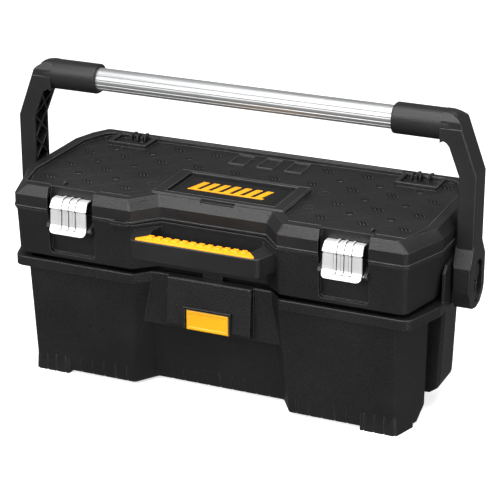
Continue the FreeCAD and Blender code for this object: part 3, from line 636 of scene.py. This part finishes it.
def lid_lines():
    """The fine raised lines along the rim, the name frame and the back edge, coloured lighter as a
    painted highlight.
    """
    mesh = bmesh.new()
    frame_line = [(-0.0935, -0.0725), (0.0935, -0.0725), (0.0935, 0.0215), (-0.0935, 0.0215)]
    plate_line = [(-0.0792, -0.0638), (0.0792, -0.0638), (0.0792, 0.0166), (-0.0792, 0.0166)]
    bead(mesh, frame_line, FRAME_TOP, 0.0012, 0.0005, True)
    bead(mesh, plate_line, FRAME_TOP, 0.0010, 0.0005, True)
    for points in both_ways([(0.1125, -0.0992), (0.1570, -0.0992)]):
        bead(mesh, points, LID_TOP, 0.0011, 0.0005, False)
    for points in both_ways([(0.2310, -0.0992), (0.2698, -0.0992), (0.2822, -0.0492),
                             (0.2802, 0.0882), (0.2660, 0.1230), (0.2530, 0.1322)]):
        bead(mesh, points, LID_TOP, 0.0012, 0.0006, False)
    for points in both_ways([(0.2370, -0.0930), (0.2650, -0.0935), (0.2745, -0.0700)]):
        bead(mesh, points, FIELD_Z, 0.0014, 0.0012, False)
    bead(mesh, [(-0.1830, 0.1338), (0.1830, 0.1338)], LID_TOP, 0.0011, 0.0006, False)
    bead(mesh, [(-0.1830, 0.1385), (0.1830, 0.1385)], LID_TOP, 0.0013, 0.0007, False)
    for points in both_ways([(0.1876, 0.0936), (0.2444, 0.0936), (0.2444, 0.1324),
                             (0.1876, 0.1324)]):
        bead(mesh, points, LID_TOP + 0.0008, 0.0010, 0.0005, True)
    for middle in (-0.042, 0.0, 0.042):
        ring = [(middle - 0.0117, 0.0838), (middle + 0.0117, 0.0838),
                (middle + 0.0117, 0.1222), (middle - 0.0117, 0.1222)]
        bead(mesh, ring, FIELD_Z + 0.0016, 0.0009, 0.0004, True)
    bmesh.ops.recalc_face_normals(mesh, faces=mesh.faces)
    data = bpy.data.meshes.new("lid_lines")
    mesh.to_mesh(data)
    mesh.free()
    finish_piece(place_mesh("lid_lines", data), "lid", LINE_HIGHLIGHT_BLACK)


def lid_lugs():
    """The upright fins in the hinge frames and the two small tabs at the front."""
    group = seat_group("lug seats")
    fin = loaf("fin", 0.0068, 0.0011, 0.0098, 90.0, (0, 0, 0), 16, 12, 6.0)
    fins = [(side * x, 0.1262, FIELD_Z - 0.0003) for side in (-1, 1)
            for x in (0.2010, 0.2125, 0.2240)]
    seated("hinge_fins", group, fin, fins, "lid", BLACK, 0.02, 7)
    tab = loaf("tab", 0.0042, 0.0019, 0.0048, 62.0, (0, 0, 0), 12, 10, 1.6)
    tabs = [(side * 0.2195, -0.0800, FIELD_Z - 0.0003) for side in (-1, 1)]
    seated("front_tabs", group, tab, tabs, "lid", BLACK, 0.0, 9)


# ---------------------------------------------------------------- latches
LATCH_BENDS = [(-0.1046, 0.2634), (-0.1120, 0.2636), (-0.1158, 0.2628), (-0.1178, 0.2604),
               (-0.1224, 0.2522), (-0.1222, 0.2512), (-0.1206, 0.2504), (-0.1210, 0.2460),
               (-0.1215, 0.2330), (-0.1218, 0.2286), (-0.1226, 0.2266), (-0.1268, 0.2192),
               (-0.1272, 0.2178)]
LATCH_HALF_WIDTHS = ((0.2630, 0.0268), (0.2535, 0.0276), (0.2524, 0.0276), (0.2515, 0.0262),
                     (0.2490, 0.0262), (0.2480, 0.0270), (0.2260, 0.0274), (0.2245, 0.0274))
LATCH_FOOT = 0.2178
LATCH_CORNER = 0.0062


def along(points, count):
    """Evenly spaced stations on a bent line."""
    lengths = [0.0]
    for first, second in zip(points, points[1:]):
        lengths.append(lengths[-1] + math.dist(first, second))
    stations = []
    for k in range(count + 1):
        goal = lengths[-1] * k / count
        i = min(len(points) - 2, sum(1 for far in lengths[1:] if far < goal))
        share = (goal - lengths[i]) / max(1e-9, lengths[i + 1] - lengths[i])
        first, second = points[i], points[i + 1]
        stations.append(tuple(a + (b - a) * share for a, b in zip(first, second)))
    return stations


def half_width(z):
    wide = LATCH_HALF_WIDTHS[0][1]
    for (high, start), (low, end) in zip(LATCH_HALF_WIDTHS, LATCH_HALF_WIDTHS[1:]):
        if low <= z < high:
            wide = end + (start - end) * (z - low) / (high - low)
    if z < LATCH_HALF_WIDTHS[-1][0]:
        wide = LATCH_HALF_WIDTHS[-1][1]
    rise = LATCH_FOOT + LATCH_CORNER - z
    if rise > 0:
        wide -= LATCH_CORNER - math.sqrt(max(0.0, LATCH_CORNER ** 2 - rise ** 2))
    return wide


def smooth(value):
    value = min(1.0, max(0.0, value))
    return value * value * (3.0 - 2.0 * value)


def rib_height(x, z):
    """How far the pressed ribs stand out at a spot on the plate."""
    x0, x1 = LATCH_ENDS
    height = 0.0
    for share in RIB_SHARES:
        off = abs(x - (x0 + share * (x1 - x0)))
        foot = smooth((z - 0.2228) / 0.0022)
        reach = 0.0019 * min(1.0, 0.55 + 0.45 * foot)
        height = max(height, 0.0014 * foot * smooth((reach + 0.0006 - off) / 0.0009))
    return height


def latch_plate(side):
    x0, x1 = LATCH_ENDS
    middle = (x0 + x1) / 2.0
    rows = along(LATCH_BENDS, 88)
    columns = 120
    mesh = bmesh.new()
    grid = []
    for k, (y, z) in enumerate(rows):
        before, after = rows[max(0, k - 1)], rows[min(len(rows) - 1, k + 1)]
        slope = Vector((0.0, after[0] - before[0], after[1] - before[1])).normalized()
        out = Vector((0.0, slope.z, -slope.y))
        wide = half_width(z)
        line = []
        for c in range(columns + 1):
            share = -1.0 + 2.0 * c / columns
            x = middle + wide * share
            turned = smooth((abs(share) - 0.965) / 0.035) * 0.0006
            spot = Vector((side * x, y, z)) + out * (rib_height(x, z) - turned)
            line.append(mesh.verts.new(spot))
        grid.append(line)
    for first, second in zip(grid, grid[1:]):
        for c in range(columns):
            mesh.faces.new((first[c], first[c + 1], second[c + 1], second[c]))
    if side > 0:
        bmesh.ops.reverse_faces(mesh, faces=mesh.faces)
    data = bpy.data.meshes.new("latch_plate")
    mesh.to_mesh(data)
    mesh.free()
    for face in data.polygons:
        face.use_smooth = True
    return data


def rolled_knuckle(side, x0, x1):
    """A strip rolled round the hinge pin, with a small mouth where the roll closes."""
    mesh = bmesh.new()
    rings = []
    for x in (x0, x0 + 0.0003, x1 - 0.0003, x1):
        inset = 0.0003 if x in (x0, x1) else 0.0
        ring = []
        for radius in (0.00365 - inset, 0.0024 + inset):
            arc = [math.radians(70 + 325 * k / 28) for k in range(29)]
            if radius < 0.003:
                arc.reverse()
            for angle in arc:
                ring.append(mesh.verts.new((side * x, LATCH_PIN[0] - radius * math.cos(angle),
                                            LATCH_PIN[1] + radius * math.sin(angle))))
        rings.append(ring)
    count = len(rings[0])
    for first, second in zip(rings, rings[1:]):
        for k in range(count):
            after = (k + 1) % count
            mesh.faces.new((first[k], first[after], second[after], second[k]))
    for ring in (rings[0], rings[-1]):
        for k in range(28):
            mesh.faces.new((ring[k], ring[k + 1], ring[count - 2 - k], ring[count - 1 - k]))
    bmesh.ops.recalc_face_normals(mesh, faces=mesh.faces)
    data = bpy.data.meshes.new("knuckle")
    mesh.to_mesh(data)
    mesh.free()
    return data


def latch(name, side, body):
    plate = place_mesh(name + "_sheet", latch_plate(side))
    thick = plate.modifiers.new("sheet", "SOLIDIFY")
    thick.thickness = 0.0011
    thick.offset = -1.0
    applied(plate, name + "_sheet")
    x0, x1 = LATCH_ENDS
    third = (x1 - x0 - 0.002) / 3.0
    rolls = [rolled_knuckle(side, x0 + 0.001 + third * k + 0.0006,
                            x0 + 0.001 + third * (k + 1) - 0.0006) for k in range(3)]
    mesh = joined(name + "_pressing", [plate.data] + rolls)
    for face in mesh.polygons:
        face.use_smooth = True
    bpy.data.objects.remove(plate)
    mesh.set_sharp_from_angle(angle=math.radians(38.0))
    piece = place_mesh(name + "_pressing", mesh)
    return finish_piece(piece, body, LATCH, [name])


bpy.context.scene.view_settings.view_transform = "Standard"
place_camera()
light_studio()
lay_floor()
dress_nodes()
mouldings()
button_coil()
tread()
lid_lines()
lid_lugs()
latch("latch_left", -1, "left_latch")
latch("latch_right", 1, "right_latch")
